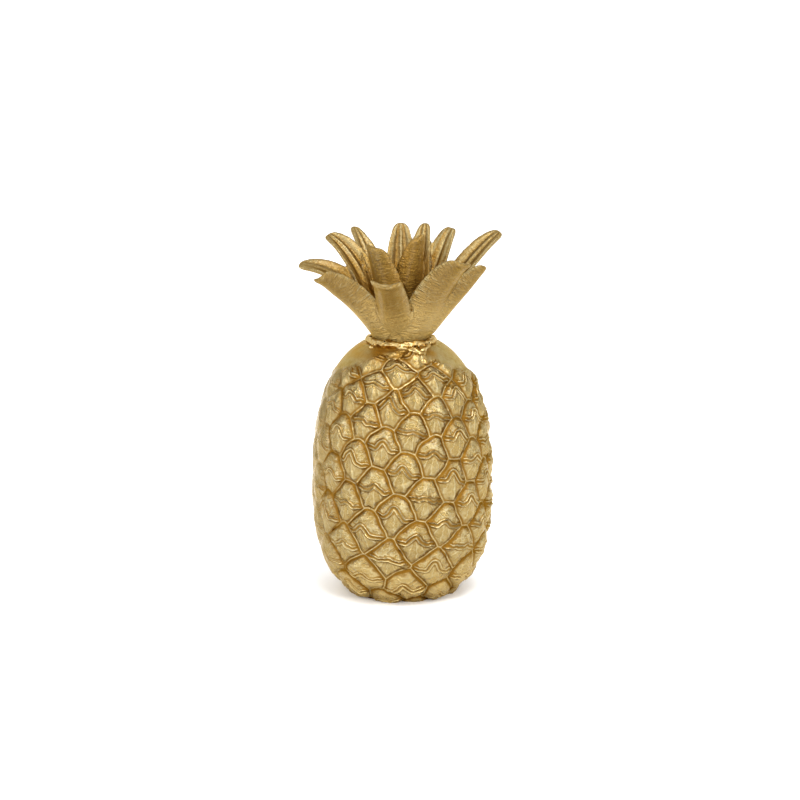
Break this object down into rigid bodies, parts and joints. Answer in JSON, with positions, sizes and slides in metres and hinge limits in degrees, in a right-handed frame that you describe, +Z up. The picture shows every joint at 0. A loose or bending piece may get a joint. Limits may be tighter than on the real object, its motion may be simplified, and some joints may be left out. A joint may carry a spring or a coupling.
{
  "type": "pineapple sculpture",
  "caption": "Small free-standing pineapple ornament in cast metal: an oval fruit with spiral rows of carved eyes, cut flat underneath, and a crown of blunt curling leaves.",
  "frame": {"origin": "The centre of the flat underside, on the surface that the ornament stands on.", "axes": "+Z points up through the crown, -Y towards the viewer of the picture, and +X to the viewer's right."},
  "size_m": [0.1056, 0.0948, 0.1904],
  "materials": {
    "fruit_gold": "Satin gold over cast metal, rubbed bright on the raised parts of the eyes and left brown in the grooves.",
    "crown_gold": "The same satin gold, a little duller, with fine wavy lines across the leaves and dark pinholes from casting."
  },
  "bodies": {
    "root": {"fruit": "fruit_gold", "leaf_crown": "crown_gold"}
  },
  "joints": []
}
